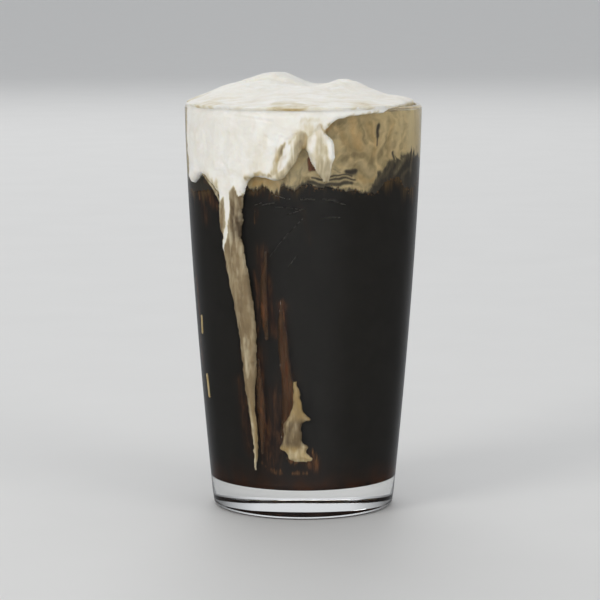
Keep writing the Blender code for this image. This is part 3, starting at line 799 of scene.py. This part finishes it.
# Painted highlight: a pale streak down the tail of the run
TAIL_HIGHLIGHT = [
    (-31, 66, -30, 52, 0.5, 0.35), (-30.6, 44, -29.2, 35, 0.5, 0.45), (-29.2, 35, -28.8, 18, 0.6, 0.8),
]
DRIP_DARK = [
    (-31.4, 109, -32, 102.6, 1, 0.7), (-44.2, 106.4, -43, 100.5, 0.5, 0.9),
    (-35.2, 116, -34.8, 106, 0.3, 0.6), (-33.2, 114, -34, 104, 0.25, 0.6),
    (-31.8, 87, -29.6, 62, 0.35, 0.35), (14.8, 137, 14.2, 132, 0.35, 0.5), (-32.2, 44, -31, 33, 0.6, 0.8),
    (-31, 34, -30, 27, 0.4, 0.7), (-35, 78, -33, 64, 0.4, 0.3),
]

# The run turns tan below a ragged pointed line: its highest place and how fast it falls to the sides
TAN_START = (-33.2, 119.8)
TAN_FALL = 0.6


def apron_paint(angle, z, depth):
    """White foam with tan and gold where it is thin, and a tan run with dark edges; the run's white tongue on
    its left is partly painted light and its darker right side painted shade; painted highlights on the curl
    and down the tail.
    """
    warp = wall_lumps(angle, z, 3, 8, 41)
    fine = wall_lumps(angle, z, 1.2, 12, 42)
    turned, raised = angle + 2.2 * warp, z + 1.6 * warp
    tan = strokes_at(turned, raised, APRON_TAN) * (0.85 + 0.5 * fine)
    middle, half, _ = down_run(DRIP, z)
    side = np.radians(angle - middle) * outer_radius(z) / half
    starts = TAN_START[1] - TAN_FALL * np.abs(angle - TAN_START[0]) + 0.8 * fine
    on_drip = smoothstep(starts + 0.7, starts - 0.7, z)
    down = smoothstep(104, 88, z + 4 * warp)
    lit_tongue = smoothstep(0.3, 0.75, strokes_at(angle + 1.6 * warp, z + 1.5 * warp, DRIP_LIT_WHITE))
    drip_tan = unit(0.9 + 0.2 * down + 0.35 * fine + 0.25 * warp) * (1 - 0.96 * lit_tongue)
    tan = tan * (1 - on_drip) + drip_tan * on_drip
    # White lobes, and a painted highlight on the curl
    white = strokes_at(angle + 0.5 * warp, z + 0.5 * warp, APRON_WHITE_AND_HIGHLIGHT)
    tan = unit(tan - white)
    gold = strokes_at(turned, raised, APRON_GOLD) + 0.5 * smoothstep(52, 24, z) * (0.6 + 0.6 * fine)
    # Painted shade: the right side of the run darker
    shaded_right_side = 0.5 * smoothstep(122, 112, z) * smoothstep(99, 103, z) * smoothstep(-0.1, 0.5, side)
    both_edges = 0.3 * smoothstep(0.55, 1.0, np.abs(side)) * down * smoothstep(40, 55, z)
    dark = on_drip * (shaded_right_side + both_edges) * (0.8 + 0.8 * fine) * (1 - lit_tongue)
    dark = dark + 0.6 * strokes_at(turned, raised, DRIP_DARK)
    # Painted highlight down the tail, where tan and gold are taken out
    tail_highlight = strokes_at(angle, z, TAIL_HIGHLIGHT) * (0.9 + 0.3 * warp)
    tan = tan * (1 - 0.75 * tail_highlight)
    gold = gold * (1 - 0.6 * tail_highlight)
    return foam_paint(z, tan=tan, gold=unit(gold), dark=unit(dark))


# Marks that stick out of the smear
SMEAR_STROKES = [
    (-1.2, 38.4, 2.4, 37.3, 0.8, 0.9), (0.4, 23.6, 4.6, 22.7, 0.55, 0.6),
    (-9.5, 27.2, -12.2, 27.1, 0.7, 0.8), (-1.2, 27.6, 0.9, 27.2, 0.8, 0.9),
    (-5.2, 23.2, -7, 23, 0.7, 0.7),
]


def smear_paint(angle, z, depth):
    """Gold at both ends, darker and browner in the middle, paler at the bottom."""
    fine = wall_lumps(angle, z, 1.4, 7, 52)
    soft = wall_lumps(angle, z, 4, 6, 53)
    low = smoothstep(28, 24.8, z + 1.2 * soft)
    tan = unit(1.05 - 0.5 * low + 0.3 * fine)
    gold = unit(0.6 + 0.4 * soft)
    middle = smoothstep(26, 29, z) * smoothstep(38, 35.5, z)
    dark = 0.12 + 0.42 * middle + 0.4 * fine * middle + 0.2 * smoothstep(0.7, 0.1, depth) - 0.2 * low
    return foam_paint(z, tan=tan, gold=gold * (1 - 0.7 * middle), dark=unit(dark))


# Runs of wet brown film left on the outside
FILMS = [
    [
        (80, -11.4, 0.3, 0.1), (74, -11.6, 0.9, 0.16), (66, -11, 1.7, 0.2), (58, -10, 1.9, 0.2),
        (50, -8.6, 2, 0.22), (42, -8.2, 2.4, 0.24), (34, -9.4, 2.2, 0.2), (29, -10.4, 1.2, 0.1),
    ],
    [
        (97, -18.8, 0.4, 0.08), (91, -19.6, 0.9, 0.14), (84, -20.6, 1.3, 0.16), (75, -20.6, 1.4, 0.16),
        (66, -19.6, 0.7, 0.08),
    ],
    [
        (58, -24.6, 0.5, 0.08), (50, -24.6, 1.2, 0.15), (40, -24, 1.6, 0.18), (31, -24, 1.1, 0.15),
        (24, -24.6, 0.4, 0.08),
    ],
]


def film_paint(angle, z, depth):
    """How much brown the film holds, none at its edges."""
    body = smoothstep(0, 1.5, depth) * (0.6 + 0.9 * wall_lumps(angle, z, 1.0, 14, 71))
    return {"body": unit(body)}


# Marks of fine lacing, partly painted reflections, and flecks that are painted amber glints, on the outside
# Partly painted reflections: thin pale traces on the wall where fine reflections show
LACING_REFLECTIONS = [
    (-20, 113.6, -14, 114.6, 0.2, 0.1), (-1.5, 116, 5.5, 115.8, 0.24, 0.14), (9, 116, 15, 115.2, 0.2, 0.1),
    (15, 115.2, 20.5, 113.8, 0.2, 0.1), (8.5, 109.2, 17.5, 109.5, 0.22, 0.12),
    (-16.6, 95.5, -9.4, 102.4, 0.1, 0.05), (-9.4, 102.4, -0.5, 109, 0.1, 0.05),
    (-25.5, 113.4, -20.5, 114.3, 0.13, 0.07), (-13.8, 113.2, 0.8, 112.4, 0.13, 0.07),
    (-13.8, 117, -6.5, 115.9, 0.14, 0.08), (-8, 110.6, -0.6, 112.4, 0.12, 0.06),
    (-25, 111.6, -23.6, 110.9, 0.2, 0.1), (-7.5, 92, -3, 96.4, 0.12, 0.06),
]
# Painted glints: amber flecks by the left edge of the glass
GLINT_FLECKS = [(-69.4, 71, -70.2, 65, 0.6, 0.35), (-68, 49.5, -67, 42, 0.65, 0.4)]


def glint_fleck_paint(angle, z, depth):
    """Gold over tan: painted amber glints by the left edge of the glass."""
    return foam_paint(z, tan=0.6, gold=0.8 + 0.4 * wall_lumps(angle, z, 1, 3, 72))


# How many bubbles lie inside the wall
BUBBLES = 420


def make_bubbles():
    """Small balls in one mesh, pressed flat against the wall along the lower edge of the head."""
    rng = np.random.default_rng(7)
    angle = rng.uniform(-180, 180, BUBBLES)
    size = 0.12 + 0.3 * rng.random(BUBBLES) ** 3
    below = rng.normal(0.0, 0.4, BUBBLES) + 1.6 * rng.random(BUBBLES) ** 4
    z = HEIGHT - head_edge(angle) - below
    middle = place(angle, inner_radius(z) + GRIP + 0.02, z)
    sizes = np.stack([size, size, 0.05 + 0.1 * size], axis=-1)
    ball, triangles = unit_ball()
    points = middle[:, None, :] + np.einsum("nij,njk->nik", ball[None] * sizes[:, None, :], wall_axes(angle))
    faces = triangles[None] + (np.arange(BUBBLES) * len(ball))[:, None, None]
    return new_object("edge_bubbles", points.reshape(-1, 3), faces.reshape(-1, 3).tolist())


def unit_ball():
    """Points and triangles of a small ball of radius 1."""
    bm = bmesh.new()
    bmesh.ops.create_icosphere(bm, subdivisions=2, radius=1.0)
    points = np.array([v.co[:] for v in bm.verts])
    triangles = np.array([[v.index for v in f.verts] for f in bm.faces])
    bm.free()
    return points, triangles


def wall_axes(angle):
    """Directions across, up and out of the wall at each angle."""
    sine, cosine = np.sin(np.radians(angle)), np.cos(np.radians(angle))
    zero = np.zeros_like(sine)
    across, up, out = (cosine, sine, zero), (zero, zero, zero + 1), (sine, -cosine, zero)
    return np.stack([np.stack(axis, axis=-1) for axis in (across, up, out)], axis=1)


# Materials

def srgb(red, green, blue):
    """Linear colour with alpha from an 8-bit display colour."""
    out = []
    for value in (red, green, blue):
        value /= 255
        out.append(value / 12.92 if value <= 0.04045 else ((value + 0.055) / 1.055) ** 2.4)
    return (*out, 1.0)


def seen_through(red, green, blue):
    """Colour that shows as the given one once the glass in front has taken its share of the light."""
    wanted = srgb(red, green, blue)[:3]
    gain = min(2.0, 0.92 / max(wanted))
    return (*[gain * value for value in wanted], 1.0)


class Recipe:
    """The nodes of a material or a world, written as a short recipe."""

    def __init__(self, data, shader, coords):
        data.use_nodes = True
        self.data = data
        self.tree = data.node_tree
        self.shader = self.tree.nodes[shader]
        self.coords = self.tree.nodes.new("ShaderNodeTexCoord").outputs[coords]

    def plug(self, socket, value):
        if isinstance(value, bpy.types.NodeSocket):
            self.tree.links.new(value, socket)
        else:
            socket.default_value = value

    def set(self, **values):
        for key, value in values.items():
            self.plug(self.shader.inputs[key.replace("_", " ")], value)

    def add(self, kind, **values):
        node = self.tree.nodes.new(kind)
        for key, value in values.items():
            if key in node.inputs:
                self.plug(node.inputs[key], value)
            else:
                setattr(node, key, value)
        return node

    def attribute(self, name):
        return self.add("ShaderNodeAttribute", attribute_name=name).outputs["Fac"]

    def tinted(self, name, most, colour, other):
        """A colour that turns to another, most of the way at most, where an attribute is high."""
        return self.mix(self.span(self.attribute(name), 0, 1, 0, most), colour, other)

    def math(self, operation, first, second=0.0):
        node = self.add("ShaderNodeMath", operation=operation)
        self.plug(node.inputs[0], first)
        self.plug(node.inputs[1], second)
        return node.outputs[0]

    def mix(self, share, first, second):
        node = self.tree.nodes.new("ShaderNodeMix")
        node.data_type = "RGBA"
        self.plug(node.inputs[0], share)
        self.plug(node.inputs[6], first)
        self.plug(node.inputs[7], second)
        return node.outputs[2]

    def stretched(self, x, y, z):
        return self.add("ShaderNodeMapping", Vector=self.coords, Scale=(x, y, z)).outputs[0]

    def noise(self, size, detail=4.0, rough=0.55, distortion=0.0, vector=None):
        """Noise with lumps of a size in mm."""
        node = self.add("ShaderNodeTexNoise", Vector=vector or self.coords, Scale=1 / (size * MM))
        self.plug(node.inputs["Detail"], detail)
        self.plug(node.inputs["Roughness"], rough)
        self.plug(node.inputs["Distortion"], distortion)
        return node.outputs["Fac"]

    def cells(self, size):
        node = self.add("ShaderNodeTexVoronoi", Vector=self.coords, Scale=1 / (size * MM))
        return node.outputs["Distance"]

    def span(self, value, low, high, to_low=0.0, to_high=1.0):
        node = self.add("ShaderNodeMapRange")
        for socket, number in zip(node.inputs[:5], (value, low, high, to_low, to_high)):
            self.plug(socket, number)
        return node.outputs[0]

    def bump(self, height, distance, strength, after=None):
        node = self.add("ShaderNodeBump", Height=height, Distance=distance * MM, Strength=strength)
        if after is not None:
            self.plug(node.inputs["Normal"], after)
        return node.outputs[0]


def material(name):
    """An empty recipe for a surface, with noise placed by the object's own coordinates."""
    return Recipe(bpy.data.materials.new(name), "Principled BSDF", "Object")


def glass_material():
    """Clear soda glass, faintly grey-green, with the smudges and ripple of a used pint glass."""
    m = material("clear_glass")
    smudge = m.noise(14, 5, 0.6, 1.2)
    streaks = m.noise(3, 4, 0.6, 0.4, m.stretched(1, 1, 0.12))
    smudge = m.math("MULTIPLY", m.span(smudge, 0.5, 0.8), streaks)
    m.set(
        Base_Color=m.mix(smudge, (0.975, 0.98, 0.972, 1), (0.95, 0.955, 0.945, 1)),
        Roughness=m.span(smudge, 0, 0.6, 0.006, 0.07),
        Transmission_Weight=1.0,
        IOR=1.5,
        Normal=m.bump(m.noise(22, 1, 0.4), 0.12, 0.5),
    )
    return m.data


def stout_material():
    """Near black drink, a little lifted as painted reflection; painted light in brown where light reaches
    into it, with painted amber highlights and a painted glow over the foot; smoky where foam still rises
    under the head.
    """
    m = material("black_stout")
    grain = m.noise(1.4, 5, 0.6, 0.6, m.stretched(1, 1, 0.16))
    cloud = m.noise(9, 4, 0.55, 0.8)
    # Dark grey rather than black: partly painted reflection, standing in for the glass's reflection of the
    # darkened world below the horizon
    black = m.mix(cloud, srgb(50, 48, 45), srgb(58, 56, 53))
    # Painted light: brown where light gets through the drink
    haze = m.math("MULTIPLY", m.attribute("haze"), m.span(grain, 0.3, 0.7, 0.55, 1.25))
    brown = m.mix(m.span(grain, 0.38, 0.64), srgb(84, 46, 32), srgb(146, 100, 68))
    colour = m.mix(m.span(haze, 0, 1, 0, 0.95), black, brown)
    bristle = m.noise(0.5, 3, 0.6, 0.3, m.stretched(1, 1, 0.06))
    # Painted amber highlights
    amber = m.math("MULTIPLY", m.attribute("amber"), m.span(bristle, 0.35, 0.62, 0.35, 1.2))
    colour = m.mix(m.span(amber, 0.1, 0.9), colour, m.mix(cloud, srgb(176, 112, 66), srgb(204, 150, 98)))
    # Painted glow over the foot
    glow = m.math("MULTIPLY", m.attribute("glow"), m.span(cloud, 0.3, 0.7, 0.5, 1.1))
    colour = m.mix(m.span(glow, 0.05, 1, 0, 0.9), colour, srgb(100, 58, 32))
    veil = m.math("MULTIPLY", m.attribute("veil"), m.span(grain, 0.3, 0.68, 0.35, 1.2))
    colour = m.mix(m.span(veil, 0.08, 0.9), colour, m.mix(cloud, srgb(88, 74, 54), srgb(140, 112, 76)))
    m.set(Base_Color=colour, Roughness=0.35, IOR=1.34, Specular_IOR_Level=0.0)
    return m.data


def foam_finish(m, colour, fine=1.0):
    """Dense foam: fine bubbles in the surface, soft light through it."""
    pores = m.span(m.cells(0.55), 0.0, 0.6)
    grain = m.noise(0.9, 4, 0.65)
    lumpy = m.noise(3.2, 3, 0.5, 0.5)
    normal = m.bump(lumpy, 0.25 * fine, 0.6)
    normal = m.bump(grain, 0.12 * fine, 0.6, normal)
    normal = m.bump(pores, 0.07 * fine, 0.55, normal)
    m.set(
        Base_Color=colour,
        Roughness=m.span(grain, 0.3, 0.7, 0.5, 0.72),
        Specular_IOR_Level=0.35,
        Subsurface_Weight=0.35,
        Subsurface_Radius=(1.0, 0.8, 0.55),
        Subsurface_Scale=0.0022,
        Normal=normal,
    )


def foam_material():
    """Creamy white foam that turns tan, gold or brown where it is thin, wet or drying, and where shade,
    glints and highlights are painted into it; its grey is painted shade.
    """
    m = material("cream_foam")
    cloud = m.noise(7, 4, 0.55, 1.0)
    streak = m.noise(3.2, 3, 0.5, 0.9, m.stretched(1, 1, 0.25))
    white = m.mix(m.span(cloud, 0.35, 0.7), srgb(243, 241, 235), srgb(233, 229, 219))
    cream = m.mix(m.span(streak, 0.3, 0.7), srgb(148, 130, 98), srgb(122, 104, 76))
    tan = m.math("MULTIPLY", m.attribute("tan"), m.span(streak, 0.3, 0.65, 0.88, 1.12))
    colour = m.mix(m.span(tan, 0.02, 0.4), white, srgb(212, 201, 171))
    colour = m.mix(m.span(tan, 0.3, 1), colour, cream)
    colour = m.tinted("gold", 0.8, colour, m.mix(streak, srgb(198, 172, 114), srgb(152, 124, 72)))
    # Grey is painted shade
    colour = m.tinted("grey", 0.35, colour, srgb(196, 200, 194))
    colour = m.tinted("dark", 0.9, colour, srgb(66, 52, 38))
    foam_finish(m, colour)
    return m.data


def inside_material():
    """The head pressed against the glass: cream foam painted tan as painted shade, swirled, with smoky
    patches and small dark voids.
    """
    m = material("tan_head")
    cloud = m.noise(4.5, 5, 0.6, 2.2, m.stretched(1, 1, 0.7))
    streak = m.noise(1.1, 5, 0.65, 0.8, m.stretched(1, 1, 0.22))
    blend = m.math("ADD", m.math("MULTIPLY", m.attribute("dark"), 0.75), m.math("MULTIPLY", cloud, 0.35))
    # The tan is painted shade: the same cream foam as outside, painted as it looks in shade
    tan = m.mix(m.span(blend, 0.34, 1.05), seen_through(186, 169, 128), seen_through(106, 91, 64))
    tan = m.mix(m.span(streak, 0.45, 0.75, 0, 0.4), tan, seen_through(164, 146, 108))
    tan = m.tinted("gold", 0.75, tan, seen_through(178, 145, 92))
    tan = m.tinted("pale", 0.8, tan, seen_through(208, 193, 154))
    smoky = m.math("MULTIPLY", m.attribute("smoky"), m.span(streak, 0.25, 0.6, 0.85, 1.1))
    tan = m.mix(m.span(smoky, 0.1, 0.6, 0, 0.8), tan, seen_through(66, 59, 48))
    tan = m.mix(m.span(smoky, 0.45, 1, 0, 0.95), tan, seen_through(48, 44, 38))
    rust = m.mix(m.span(streak, 0.3, 0.7), seen_through(134, 84, 56), seen_through(82, 54, 38))
    tan = m.mix(m.attribute("rust"), tan, rust)
    foam_finish(m, tan, 0.6)
    m.set(Subsurface_Weight=0.1)
    return m.data


def film_material():
    """Thin brown film of drink left on the outside of the glass, clear at its edges."""
    m = material("wet_film")
    ripple = m.noise(2.2, 4, 0.6, 0.5, m.stretched(1, 1, 0.3))
    bristle = m.noise(0.6, 3, 0.6, 0.3, m.stretched(1, 1, 0.07))
    body = m.attribute("body")
    brown = m.mix(m.span(bristle, 0.38, 0.62), srgb(96, 60, 42), srgb(172, 112, 74))
    m.set(
        Base_Color=m.mix(body, srgb(214, 184, 152), brown),
        Roughness=m.span(ripple, 0.3, 0.7, 0.05, 0.2),
        Transmission_Weight=m.span(body, 0, 1, 1.0, 0.8),
        IOR=1.34,
        Normal=m.bump(ripple, 0.08, 0.6),
    )
    return m.data


def lacing_reflection_material():
    """Thin dried traces of foam whose pale colour is partly painted reflection, thin enough for the dark
    drink to show through.
    """
    m = material("dry_lacing")
    patch = m.noise(1.1, 4, 0.6)
    m.set(
        Base_Color=m.mix(patch, srgb(124, 120, 110), srgb(92, 88, 78)),
        Roughness=m.span(patch, 0.3, 0.7, 0.2, 0.4),
        Transmission_Weight=m.span(patch, 0.35, 0.65, 0.78, 0.95),
        IOR=1.34,
    )
    return m.data


def bubble_material():
    """Brown films of drink round small bubbles."""
    m = material("bubble_film")
    brown = m.mix(m.noise(1.5, 3), srgb(150, 118, 80), srgb(92, 68, 44))
    m.set(Base_Color=brown, Roughness=0.25, Specular_IOR_Level=0.6)
    return m.data


def floor_material():
    """Pale matt grey, barely mottled."""
    m = material("pale_floor")
    grey = m.mix(m.noise(60, 4, 0.5), (0.70, 0.695, 0.68, 1), (0.74, 0.735, 0.72, 1))
    m.set(Base_Color=grey, Roughness=0.6)
    return m.data


def dress(obj, finish, slot, *nodes):
    """Gives a piece its material and hides the nodes it replaces; slot is not used."""
    obj.data.materials.append(finish)
    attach(obj, "root")
    if nodes:
        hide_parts(*nodes)


# Stage, in metres

def make_floor():
    """A pale floor that goes on to all sides and takes no part in reflections."""
    bpy.ops.mesh.primitive_circle_add(vertices=128, radius=30, fill_type="NGON", location=(0, 0, 0))
    floor = bpy.context.object
    floor.name = "floor"
    floor.data.materials.append(floor_material())
    floor.visible_glossy = False


# The world is dimmer to the sides, so that the glass shows its edges: sideways from, to, strength from, to
WORLD_DIM = (0.35, 0.8, 0.75, 0.25)

# Below the horizon only reflections see the world, in place of the floor: height from, to, share from, to
WORLD_LOW = (-0.1, 0.0, 0.3, 1.0)


def make_world():
    """Soft light from all sides."""
    world = bpy.data.worlds.new("soft")
    scene.world = world
    w = Recipe(world, "Background", "Generated")
    w.set(Color=(0.95, 0.97, 1.0, 1))
    sideways, _, height = w.add("ShaderNodeSeparateXYZ", Vector=w.coords).outputs
    dim = w.span(w.math("ABSOLUTE", sideways), *WORLD_DIM)
    w.set(Strength=w.math("MULTIPLY", dim, w.span(height, *WORLD_LOW)))


# Soft lights: name, place, size, watts, colour
LIGHTS = [
    ("key", (-2.4, -2.2, 1.3), (1.3, 1.3), 42, (1.0, 0.985, 0.96)),
    ("fill", (2.3, -1.9, 1.0), (1.6, 1.6), 24, (1.0, 0.985, 0.96)),
    ("back", (-0.5, 2.6, 1.8), (2.4, 1.2), 18, (1.0, 1.0, 1.0)),
]

# What the lights point at
LIGHT_AIM = (0, 0, 0.09)


def make_lights():
    """Rectangles of light round the glass."""
    for name, where, size, power, colour in LIGHTS:
        data = bpy.data.lights.new(name, "AREA")
        data.shape = "RECTANGLE"
        data.size, data.size_y = size
        data.energy = power
        data.color = colour
        lamp = linked(name, data)
        lamp.location = where
        aim = Vector(LIGHT_AIM) - lamp.location
        lamp.rotation_euler = aim.to_track_quat("-Z", "Y").to_euler()


# The camera, fitted to the rim and the foot in the photo: lens in mm, place, degrees it looks down
LENS = 150.6
CAMERA_PLACE = (-0.0012, -0.912, HEIGHT * MM + 0.0477)
LOOKS_DOWN = 7.47


def make_camera():
    """The photo's viewing angle."""
    data = bpy.data.cameras.new("view")
    data.sensor_width = 36
    data.lens = LENS
    data.clip_start = 0.02
    camera = linked("view", data)
    camera.location = CAMERA_PLACE
    camera.rotation_euler = (math.radians(90 - LOOKS_DOWN), 0, 0)
    scene.camera = camera


# Assembly

cream_foam = foam_material()
dress(make_glass(), glass_material(), "glass", "glass")
dress(make_stout(), stout_material(), "stout", "stout")
dress(make_head_inside(), inside_material(), "head", "head")
dress(make_cap(), cream_foam, "head", "head")
apron = wall_foam(
    "head_apron", (-80, 62), (16, HEIGHT + 0.7), apron_parts,
    step=0.34, blend=1.6, ragged=0.35, seed=31, relief_at=apron_relief, paint_at=apron_paint,
)
dress(apron, cream_foam, "head", "head")
smear = wall_foam(
    "smear_foam", (-20, 12), (20, 53), parts_of([SMEAR], SMEAR_STROKES),
    step=0.25, blend=2.2, ragged=0.4, seed=51, paint_at=smear_paint,
)
dress(smear, cream_foam, "smear", "smear")
threads = wall_foam(
    "drip_threads", (-60, -38), (108, 126), parts_of(strokes=THREADS),
    step=0.2, blend=3.0, ragged=0.3, seed=85, paint_at=thread_paint,
)
dress(threads, cream_foam, "head", "head")
# Painted amber glints, made as small flecks of foam
glint_flecks = wall_foam(
    "foam_flecks", (-76, -62), (38, 102), parts_of(strokes=GLINT_FLECKS),
    step=0.25, blend=3.0, ragged=0.2, seed=81, paint_at=glint_fleck_paint,
)
dress(glint_flecks, cream_foam, "smear")
film = wall_foam(
    "wet_film", (-30, -4), (22, 100), parts_of(FILMS),
    step=0.3, blend=2.5, ragged=0.3, seed=61, base=0.0, paint_at=film_paint,
)
dress(film, film_material(), "stout")
# Thin lacing whose pale colour is partly painted reflection
lacing_reflections = wall_foam(
    "dry_lacing", (-24, 46), (58, 119), parts_of(strokes=LACING_REFLECTIONS),
    step=0.16, blend=6.0, ragged=0.25, seed=91, base=0.0,
)
dress(lacing_reflections, lacing_reflection_material(), "smear")
dress(make_bubbles(), bubble_material(), "head")
make_floor()
make_world()
make_lights()
make_camera()
scene.view_settings.view_transform = "Standard"
